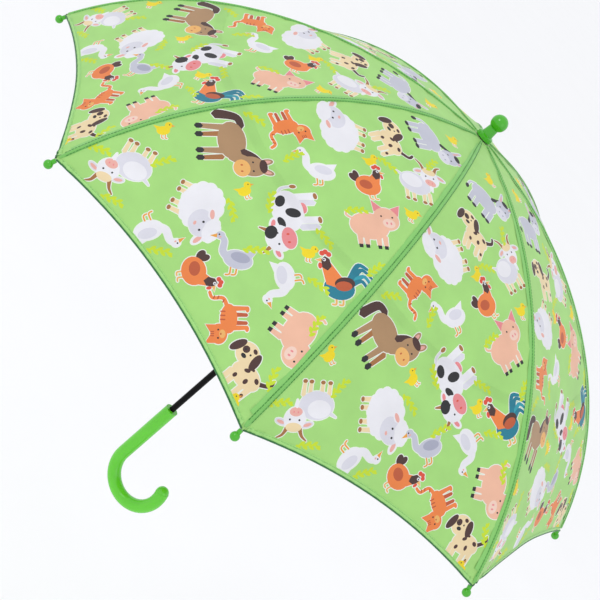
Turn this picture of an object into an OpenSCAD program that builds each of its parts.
// Children's stick umbrella, standing open with its ferrule up.
// The origin is on the shaft axis, halfway along the straight hand grip.
// +Z runs up the shaft to the ferrule, and the crook curls towards +X.
// Eight ribs stand half a panel either side of the crook's plane.

/* [Ribs] */
// Length of a rib, from its hinge to the centre of its ball tip
rib_length = 455; // [380:1:560]
// Diameter of the rib wire
rib_d = 2.4; // [2:0.1:2.6]
// Distance along the rib where it bends most when the canopy is shut
bend_at = 273; // [220:1:320]
// Slope of the rib below level at its hinge, in degrees
root_slope = 2; // [0:1:12]
// Slope of the rib below level at its bending place, in degrees
bend_slope = 37; // [28:1:42]
// Slope of the rib below level at its tip, in degrees
tip_slope = 65; // [52:1:72]

/* [Canopy] */
// Thickness of the canopy solid
cloth_t = 0.8; // [0.6:0.1:1.2]
// How far the hem rises towards the top between two tips
hem_rise = 16; // [8:1:24]
// How far the fold line dips towards the hem between two ribs
fold_dip = 17; // [10:1:22]

/* [Tips and ferrule] */
// Diameter of a ball tip
ball_d = 8.5; // [7:0.5:10]
// Length of the neck behind a ball tip
tip_neck = 7.5; // [6.5:0.5:10]
// Diameter of the ferrule's ball
ferrule_ball_d = 17.5; // [14:0.5:20]
// Diameter of the ferrule's collar
collar_d = 17.8; // [15:0.2:22]
// Height of the ferrule's collar
collar_h = 5.2; // [4:0.2:7]
// Diameter of the ferrule's neck
ferrule_neck_d = 10.6; // [9.6:0.2:12]
// Height of the ferrule's neck, up to the middle of its ball
ferrule_neck_h = 16; // [14:0.5:20]

/* [Shaft and handle] */
// Height of the rib hinges above the middle of the grip
hinge_height = 490; // [455:1:600]
// Outside diameter of the shaft tube
shaft_d = 7; // [6.6:0.1:8]
// Wall of the shaft tube
shaft_wall = 0.7; // [0.6:0.1:1]
// Diameter of the grip and of the crook
grip_d = 15.5; // [13:0.5:19]
// Length of the straight grip
grip_length = 80; // [66:1:90]
// Radius of the crook, to the middle of its tube
crook_r = 33; // [26:1:40]
// How far the crook turns, in degrees
crook_turn = 202; // [180:1:215]
// Depth of the shaft in the grip
socket_depth = 60; // [40:1:62]

/* [Stretchers and runner] */
// Distance along the rib to its joiner
joiner_at = 141; // [110:1:170]
// How far the joiner's pivot lies under the rib wire
joiner_drop = 4.5; // [4.4:0.1:6]
// How far the runner sits below the joiners when open
open_rise = 41; // [32:1:52]
// Diameter of the stretcher wire
stretcher_d = 2.2; // [1.8:0.1:2.4]
// Length of the runner
runner_length = 55; // [48:1:70]
// Outside diameter of the runner's sleeve
sleeve_d = 12.4; // [11.6:0.2:13]
// Outside diameter of the runner's crown
crown_d = 21; // [20:0.5:24]
// Diameter of the runner's thumb ring
thumb_d = 17.6; // [15:0.2:20]

/* [Closing strap] */
// Width of the closing strap
strap_w = 12; // [8:1:16]
// Length of the closing strap
strap_length = 105; // [80:1:115]

/* [Hidden] */
$fn = 48;

green_plastic = "#4fc531";
black_enamel = "#1b1c1e";
bright_steel = "#b9bec4";
print_green = "#9fdf82";
dark_green = "#1e6b2e";

rib_count = 8;
pitch = 360 / rib_count;       // between two ribs
first_rib = pitch / 2;         // azimuth of rib 1, from the crook's plane
small = 0.01;                  // a cut runs this far past a face
fit_gap = 0.05;                // radial gap of a pressed fit
slide_gap = 0.25;              // radial gap of a sliding fit
side_gap = 0.3;                // gap beside a moving blade or rod
cloth_gap = 0.3;               // gap between the canopy and what it lies on
plug_step = 0.3;               // step down from the crook to its end plug
plug_depth = 2;                // how far the end plug goes into the crook

// The rib's curve is two arcs that meet at bend_at. All slopes are below level.
hinge_r = 7;                   // radius of the ring of rib hinges
arc_1 = bend_at / ((bend_slope - root_slope) * PI / 180);
arc_2 = (rib_length - bend_at) / ((tip_slope - bend_slope) * PI / 180);
centre_1 = [hinge_r - arc_1 * sin(root_slope), hinge_height - arc_1 * cos(root_slope)];
bend_point = centre_1 + arc_1 * [sin(bend_slope), cos(bend_slope)];
centre_2 = bend_point - arc_2 * [sin(bend_slope), cos(bend_slope)];

function slope_at(s) = s <= bend_at
    ? root_slope + (bend_slope - root_slope) * s / bend_at
    : bend_slope + (tip_slope - bend_slope) * (s - bend_at) / (rib_length - bend_at);

// Radius and height of a point at length s along the rib, lifted off its wire by lift
function rib_point(s, lift = 0) = s <= bend_at
    ? centre_1 + (arc_1 + lift) * [sin(slope_at(s)), cos(slope_at(s))]
    : centre_2 + (arc_2 + lift) * [sin(slope_at(s)), cos(slope_at(s))];

// Rib eye, top notch and the wire ring that strings them together
wire_d = 1.2;
eye_d = 4;
eye_t = 2.2;
slot_w = max(eye_t, rib_d) + 2 * side_gap - 0.2;
notch_top = hinge_height + eye_d / 2 + 0.2;
notch_bottom = hinge_height - 4.5;
notch_d = 2 * (hinge_r + 3.5);
hub_r = hinge_r - eye_d / 2 - 0.2;

// Gap between the two lengths of rib, and the reach of the wire into its ball
bend_gap = 1.8;
ball_reach = 3;

// Canopy levels
cloth_lift = rib_d / 2 + cloth_gap + cloth_t / 2;
apex_lift = 1.1;               // extra lift where the canopy crosses the notch
apex_run = 40;                 // length of rib over which that lift fades
apex_start = -2;               // canopy's inner edge, as a length along the rib
hem_at = rib_length - tip_neck - cloth_gap;
cloth_top = hinge_height + cloth_lift + apex_lift * (1 - apex_start / apex_run) + cloth_t / 2;
grid_across = 6;
grid_along = 16;

washer_t = 0.8;
washer_base = cloth_top + cloth_gap;
collar_base = washer_base + washer_t;
shaft_top = collar_base + 9;
shaft_bottom = grip_length / 2 - socket_depth;

// Joiner, its pivot under the rib, and the runner's place when open
joiner_sleeve_d = rib_d + 1.2;
joiner_sink = 0.45;            // the sleeve's middle lies this far under the wire's
cheek_top = 0.6;               // the cheeks start this far under the wire's middle
joiner_length = 7;
cheek_t = 0.8;
blade_t = 1.6;
pin_d = 1.5;
cheek_gap = blade_t + side_gap;
pivot = rib_point(joiner_at, -joiner_drop);
wire_ring_r = 8;               // radius of the runner's wire ring
runner_z = pivot[1] - open_rise;
stretcher_run = pivot[0] - wire_ring_r;
stretcher_length = sqrt(pow(stretcher_run, 2) + pow(open_rise, 2));
stretcher_slope = atan2(open_rise, stretcher_run);
blade_length = 8;
open_end = wire_d / 2 + 1;     // the stretcher stops this far short of the ring

crown_h = 7;
crown_top = runner_z + crown_h / 2;
runner_bottom = crown_top - runner_length;
thumb_h = 6;
sleeve_groove_r = sleeve_d / 2 + 0.2;

// Sprung catches
catch_t = 1.2;
catch_reach = 3;
catch_h = 9;
catch_tail = 16;
catch_leaf = 1;
window_w = catch_t + 1.2;
top_catch_z = runner_bottom - slide_gap;
// Where the runner rests when the umbrella is shut
shut_joiner_z = hinge_height - joiner_at;
shut_runner_z = shut_joiner_z - stretcher_length;
bottom_catch_z = shut_runner_z - runner_length * 0.55;
stop_pin_d = 1.6;
stop_z = crown_top + stop_pin_d / 2 + slide_gap;

strap_rib = 3;
strap_tip_gap = 37;            // from the strap's end to the centre of the ball tip
strap_end = rib_length - strap_tip_gap;
strap_start = strap_end - strap_length;
strap_t = 1;
snap_d = 9;
snap_t = 1.2;

// Puts children at rib k
module at_rib(k) {
    rotate([0, 0, first_rib + (k - 1) * pitch]) children();
}

// Round rod along an arc in the rib's plane, between two slopes
module arc_rod(centre, radius, slope_from, slope_to, d) {
    translate([centre[0], 0, centre[1]])
        rotate([90, 0, 0])
            rotate([0, 0, 90 - slope_to])
                rotate_extrude(angle = slope_to - slope_from)
                    translate([radius, 0]) circle(d = d);
}

// Cylinder across the rib's plane, at a radius and a height
module cross_pin(point, d, length) {
    translate([point[0], 0, point[1]])
        rotate([90, 0, 0]) cylinder(d = d, h = length, center = true);
}

// Turns +Z to point outwards along the rib at a slope
module along_rib(point, slope) {
    translate([point[0], 0, point[1]]) rotate([0, 90 + slope, 0]) children();
}

// Moulded grip and crook, with a blind socket for the shaft
module handle() {
    color(green_plastic) {
        difference() {
            translate([0, 0, -grip_length / 2]) cylinder(d = grip_d, h = grip_length);
            translate([0, 0, shaft_bottom])
                cylinder(r = shaft_d / 2 + fit_gap, h = socket_depth + small);
        }
        translate([crook_r, 0, -grip_length / 2])
            rotate([90, 0, 0])
                rotate([0, 0, 180])
                    rotate_extrude(angle = crook_turn)
                        translate([crook_r, 0]) circle(d = grip_d);
        translate([crook_r, 0, -grip_length / 2])
            rotate([0, -crook_turn, 0])
                translate([-crook_r, 0, 0]) end_plug(grip_d - 2 * plug_step);
    }
}

// Domed plug below z = 0, pushed into the crook's free end
module end_plug(d) {
    difference() {
        sphere(d = d);
        translate([-d, -d, 0]) cube([2 * d, 2 * d, d]);
    }
    cylinder(d = d, h = plug_depth);
}

// Slot through one wall of the shaft, for a catch
module catch_slot(z) {
    translate([0, -window_w / 2, z - catch_h - catch_tail])
        cube([shaft_d, window_w, catch_h + catch_tail]);
}

// Steel tube, slotted for its two catches and drilled for the stop pin
module shaft() {
    color(black_enamel) difference() {
        translate([0, 0, shaft_bottom + fit_gap])
            cylinder(d = shaft_d, h = shaft_top - shaft_bottom - fit_gap);
        translate([0, 0, shaft_bottom])
            cylinder(d = shaft_d - 2 * shaft_wall, h = shaft_top - shaft_bottom + small);
        catch_slot(top_catch_z);
        catch_slot(bottom_catch_z);
        cross_pin([0, stop_z], stop_pin_d + 2 * fit_gap, shaft_d + 1);
    }
}

// Hub with a radial slot for each rib
module slotted_hub(bottom, top, outer_d, hub, slot) {
    difference() {
        translate([0, 0, bottom]) cylinder(d = outer_d, h = top - bottom);
        for (k = [1:rib_count])
            at_rib(k) translate([hub, -slot / 2, bottom - small])
                cube([outer_d, slot, top - bottom + 2 * small]);
    }
}

// Groove from the top of a hub down to its wire ring
module wire_groove(ring_r, z, top) {
    translate([0, 0, z - wire_d / 2 - fit_gap])
        difference() {
            cylinder(r = ring_r + wire_d / 2 + fit_gap, h = top - z + wire_d);
            cylinder(r = ring_r - wire_d / 2 - fit_gap, h = top - z + wire_d);
        }
}

// Moulded notch that the ribs hinge in
module top_notch() {
    color(black_enamel) difference() {
        slotted_hub(notch_bottom, notch_top, notch_d, hub_r, slot_w);
        wire_groove(hinge_r, hinge_height, notch_top);
        translate([0, 0, notch_bottom - small])
            cylinder(r = shaft_d / 2 + fit_gap, h = notch_top - notch_bottom + 2 * small);
    }
}

// Ring of wire, as it is threaded through eyes
module wire_ring(ring_r, z) {
    color(bright_steel) translate([0, 0, z])
        rotate_extrude() translate([ring_r, 0]) circle(d = wire_d);
}

module notch_wire() { wire_ring(hinge_r, hinge_height); }

module runner_wire() { wire_ring(wire_ring_r, runner_z); }

// Ring between the canopy and the ferrule
module apex_washer() {
    color(dark_green) translate([0, 0, washer_base]) difference() {
        cylinder(d = collar_d - 2.4, h = washer_t);
        translate([0, 0, -small])
            cylinder(r = shaft_d / 2 + slide_gap, h = washer_t + 2 * small);
    }
}

// Collar, neck and ball that close the top of the shaft
module ferrule_cap() {
    edge = 1;
    color(green_plastic) translate([0, 0, collar_base]) difference() {
        union() {
            cylinder(d = collar_d, h = collar_h - edge);
            translate([0, 0, collar_h - edge])
                cylinder(d1 = collar_d, d2 = collar_d - 3 * edge, h = edge);
            translate([0, 0, collar_h - edge])
                cylinder(d1 = ferrule_neck_d + 2, d2 = ferrule_neck_d - 1,
                         h = ferrule_neck_h);
            translate([0, 0, collar_h + ferrule_neck_h]) sphere(d = ferrule_ball_d);
        }
        translate([0, 0, -small])
            cylinder(r = shaft_d / 2 + fit_gap, h = shaft_top - collar_base + 1);
    }
}

// Pin across the shaft that the open runner stops against
module stop_pin() {
    color(bright_steel) cross_pin([0, stop_z], stop_pin_d, shaft_d + 3);
}

// Moulded runner: crown, sleeve, thumb ring and the window for the lower catch
module runner() {
    color(black_enamel) difference() {
        union() {
            slotted_hub(runner_z - crown_h / 2, crown_top, crown_d,
                        sleeve_groove_r, stretcher_d + 2 * side_gap);
            translate([0, 0, runner_bottom]) cylinder(d = sleeve_d, h = runner_length);
            translate([0, 0, runner_bottom]) cylinder(d = thumb_d, h = thumb_h);
        }
        wire_groove(wire_ring_r, runner_z, crown_top);
        translate([0, 0, runner_bottom - small])
            cylinder(r = shaft_d / 2 + slide_gap, h = runner_length + 2 * small);
        translate([0, -window_w / 2, crown_top - runner_length * 0.8])
            cube([sleeve_d, window_w, runner_length * 0.5]);
    }
}

// Leaf spring in the shaft with a tooth that stands out of its slot
module catch(z) {
    bore_r = shaft_d / 2 - shaft_wall;
    color(bright_steel) translate([0, catch_t / 2, z]) rotate([90, 0, 0])
        linear_extrude(catch_t) polygon([
            [bore_r - 0.3, 0],
            [shaft_d / 2 + catch_reach, 0],
            [shaft_d / 2, -catch_h],
            [bore_r - 0.3, -catch_h],
            [bore_r - 0.3, -catch_h - catch_tail + 1],
            [bore_r - 0.3 - catch_leaf, -catch_h - catch_tail + 1],
            [bore_r - 0.3 - catch_leaf, 0]
        ]);
}

module top_catch() { catch(top_catch_z); }

module bottom_catch() { catch(bottom_catch_z); }

// Inner length of a rib, with its eye and its crimped joiner
module rib(k) {
    joint = rib_point(joiner_at);
    joint_slope = slope_at(joiner_at);
    color(bright_steel) at_rib(k) {
        difference() {
            union() {
                cross_pin([hinge_r, hinge_height], eye_d, eye_t);
                arc_rod(centre_1, arc_1, slope_at(1), slope_at(bend_at - bend_gap), rib_d);
            }
            cross_pin([hinge_r, hinge_height], wire_d + 0.4, eye_t + 1);
        }
        along_rib(joint, joint_slope)
            translate([0, 0, -joiner_length / 2])
                difference() {
                    translate([joiner_sink, 0, 0])
                        cylinder(d = joiner_sleeve_d, h = joiner_length);
                    translate([0, 0, -small])
                        cylinder(d = rib_d - 0.1, h = joiner_length + 2 * small);
                }
        for (side = [-1, 1])
            translate([0, side * (cheek_gap + cheek_t) / 2, 0]) {
                cross_pin(pivot, eye_d, cheek_t);
                along_rib(joint, joint_slope)
                    translate([cheek_top, -cheek_t / 2, -eye_d / 2])
                        cube([joiner_drop - cheek_top, cheek_t, eye_d]);
            }
        cross_pin(pivot, pin_d, cheek_gap + 2 * cheek_t + 1);
    }
}

// Outer length of a rib, from its bending place into its ball tip
module rib_end(k) {
    color(bright_steel) at_rib(k)
        arc_rod(centre_2, arc_2, slope_at(bend_at + bend_gap),
                slope_at(rib_length - ball_reach), rib_d);
}

// Ball tip with the neck that the rib wire pushes into
module tip(k) {
    neck_d = rib_d + 2;
    color(green_plastic) at_rib(k)
        along_rib(rib_point(rib_length), tip_slope)
            difference() {
                union() {
                    sphere(d = ball_d);
                    translate([0, 0, -tip_neck]) cylinder(d = neck_d, h = tip_neck);
                }
                translate([0, 0, -tip_neck - small])
                    cylinder(r = rib_d / 2 + fit_gap, h = tip_neck - ball_reach + 1);
            }
}

// Stretcher wire with a flat eye at the joiner and an open end at the runner
module stretcher(k) {
    color(bright_steel) at_rib(k)
        translate([pivot[0], 0, pivot[1]]) rotate([0, -90 - stretcher_slope, 0])
            difference() {
                union() {
                    rotate([90, 0, 0]) cylinder(d = eye_d - 0.2, h = blade_t, center = true);
                    translate([-stretcher_d / 2, -blade_t / 2, 0])
                        cube([stretcher_d, blade_t, blade_length]);
                    translate([0, 0, blade_length - 1])
                        cylinder(d = stretcher_d,
                                 h = stretcher_length - open_end - blade_length + 1);
                }
                rotate([90, 0, 0]) cylinder(d = pin_d + 0.4, h = blade_t + 1, center = true);
            }
}

// Extra lift of the canopy over the notch
function apex_extra(s) = apex_lift * max(0, 1 - s / apex_run);

// A point of the canopy: length s along the rib, share x across from one rib to the next
function cloth_point(s, x, lift) =
    let (p = rib_point(s, cloth_lift + apex_extra(s) + lift), half = cloth_gap / 2,
         near = [p[0], half],
         far = [p[0] * cos(pitch) + half * sin(pitch), p[0] * sin(pitch) - half * cos(pitch)],
         flat = near * (1 - x) + far * x)
    [flat[0], flat[1], p[1]];

// Lengths along the rib of the fold line and of the hem, at a share across
function fold_at(x) = bend_at + fold_dip * 4 * x * (1 - x);
function hem_line(x) = hem_at - hem_rise * 4 * x * (1 - x);

// Closed sheet over a grid of points, where top and bottom are lists of rows
module sheet_solid(top, bottom) {
    rows = len(top);
    cols = len(top[0]);
    count = rows * cols;
    points = concat([for (row = top) each row], [for (row = bottom) each row]);
    function at(i, j) = i * cols + j;
    rim = concat(
        [for (j = [0:cols - 1]) at(0, j)],
        [for (i = [1:rows - 1]) at(i, cols - 1)],
        [for (j = [cols - 2:-1:0]) at(rows - 1, j)],
        [for (i = [rows - 2:-1:1]) at(i, 0)]
    );
    turns = len(rim);
    faces = concat(
        [for (i = [0:rows - 2], j = [0:cols - 2]) each [
            [at(i, j), at(i, j + 1), at(i + 1, j + 1)],
            [at(i, j), at(i + 1, j + 1), at(i + 1, j)]]],
        [for (i = [0:rows - 2], j = [0:cols - 2]) each [
            [count + at(i, j), count + at(i + 1, j + 1), count + at(i, j + 1)],
            [count + at(i, j), count + at(i + 1, j), count + at(i + 1, j + 1)]]],
        [for (n = [0:turns - 1]) let (a = rim[n], b = rim[(n + 1) % turns]) each [
            [b, a, count + a], [b, count + a, count + b]]]
    );
    polyhedron(points, faces, convexity = 4);
}

// Canopy cloth between rib k and the next, from one line across it to another
module gore(k, start, end) {
    grid = [for (lift = [cloth_t / 2, -cloth_t / 2])
        [for (i = [0:grid_along])
            [for (j = [0:grid_across])
                let (x = j / grid_across, s = start[j] + (end[j] - start[j]) * i / grid_along)
                cloth_point(s, x, lift)]]];
    color(print_green) at_rib(k) sheet_solid(grid[0], grid[1]);
}

// Upper part of a gore, from the notch to the fold line
module panel(k) {
    shares = [for (j = [0:grid_across]) j / grid_across];
    gore(k, [for (x = shares) apex_start], [for (x = shares) fold_at(x) - cloth_gap / 2]);
}

// Lower part of a gore, from the fold line to the hem
module skirt(k) {
    shares = [for (j = [0:grid_across]) j / grid_across];
    gore(k, [for (x = shares) fold_at(x) + cloth_gap / 2], [for (x = shares) hem_line(x)]);
}

// Band of the strap along an arc in the rib's plane, between two slopes
module strap_run(centre, radius, slope_from, slope_to) {
    translate([centre[0], 0, centre[1]])
        rotate([90, 0, 0])
            rotate([0, 0, 90 - slope_to])
                rotate_extrude(angle = slope_to - slope_from)
                    translate([radius, -strap_w / 2]) square([strap_t, strap_w]);
}

// Strap that ties the shut canopy, lying along its seam, with its press stud
module closing_strap() {
    lift = cloth_lift + cloth_t / 2 + cloth_gap;
    stud_at = strap_end - snap_d;
    color(dark_green) at_rib(strap_rib) {
        if (strap_start < bend_at)
            strap_run(centre_1, arc_1 + lift, slope_at(strap_start), bend_slope);
        strap_run(centre_2, arc_2 + lift, slope_at(max(strap_start, bend_at)), slope_at(strap_end));
        along_rib(rib_point(stud_at, lift + strap_t - 0.2), slope_at(stud_at))
            rotate([0, -90, 0]) cylinder(d = snap_d, h = snap_t);
    }
}

handle();
shaft();
top_notch();
notch_wire();
apex_washer();
ferrule_cap();
stop_pin();
runner();
runner_wire();
top_catch();
bottom_catch();
closing_strap();
for (k = [1:rib_count]) {
    rib(k);
    rib_end(k);
    tip(k);
    stretcher(k);
    panel(k);
    skirt(k);
}
